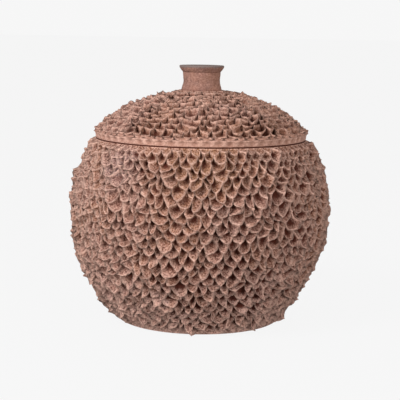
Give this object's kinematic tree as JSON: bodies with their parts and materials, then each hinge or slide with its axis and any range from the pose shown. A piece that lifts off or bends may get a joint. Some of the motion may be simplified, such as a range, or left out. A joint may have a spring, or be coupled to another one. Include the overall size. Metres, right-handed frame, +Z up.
{
  "type": "lidded bowl",
  "caption": "Round earthenware bowl with a domed lift-off lid and spool-shaped knob, carved all over with rows of raised scale-like lips over scooped pits.",
  "frame": {"origin": "centre of the flat foot, on the surface the bowl stands on", "axes": "+Z up along the axis that the bowl, the lid and the knob are turned about; X and Y are level and alike"},
  "size_m": [0.3008, 0.3013, 0.289],
  "materials": {
    "bowl_body": "matte unglazed terracotta",
    "lid_dome": "matte unglazed terracotta",
    "lid_flange": "matte unglazed terracotta",
    "lid_knob": "matte unglazed terracotta, smoothed by hand"
  },
  "bodies": {
    "bowl": {"bowl_body": "bowl_body"},
    "lid": {"lid_dome": "lid_dome", "lid_flange": "lid_flange", "lid_knob": "lid_knob"}
  },
  "joints": [
    {"name": "lid_lift", "type": "slide", "parent": "bowl", "child": "lid", "axis": [0, 0, 1], "range_m": [0, 0.2]}
  ]
}
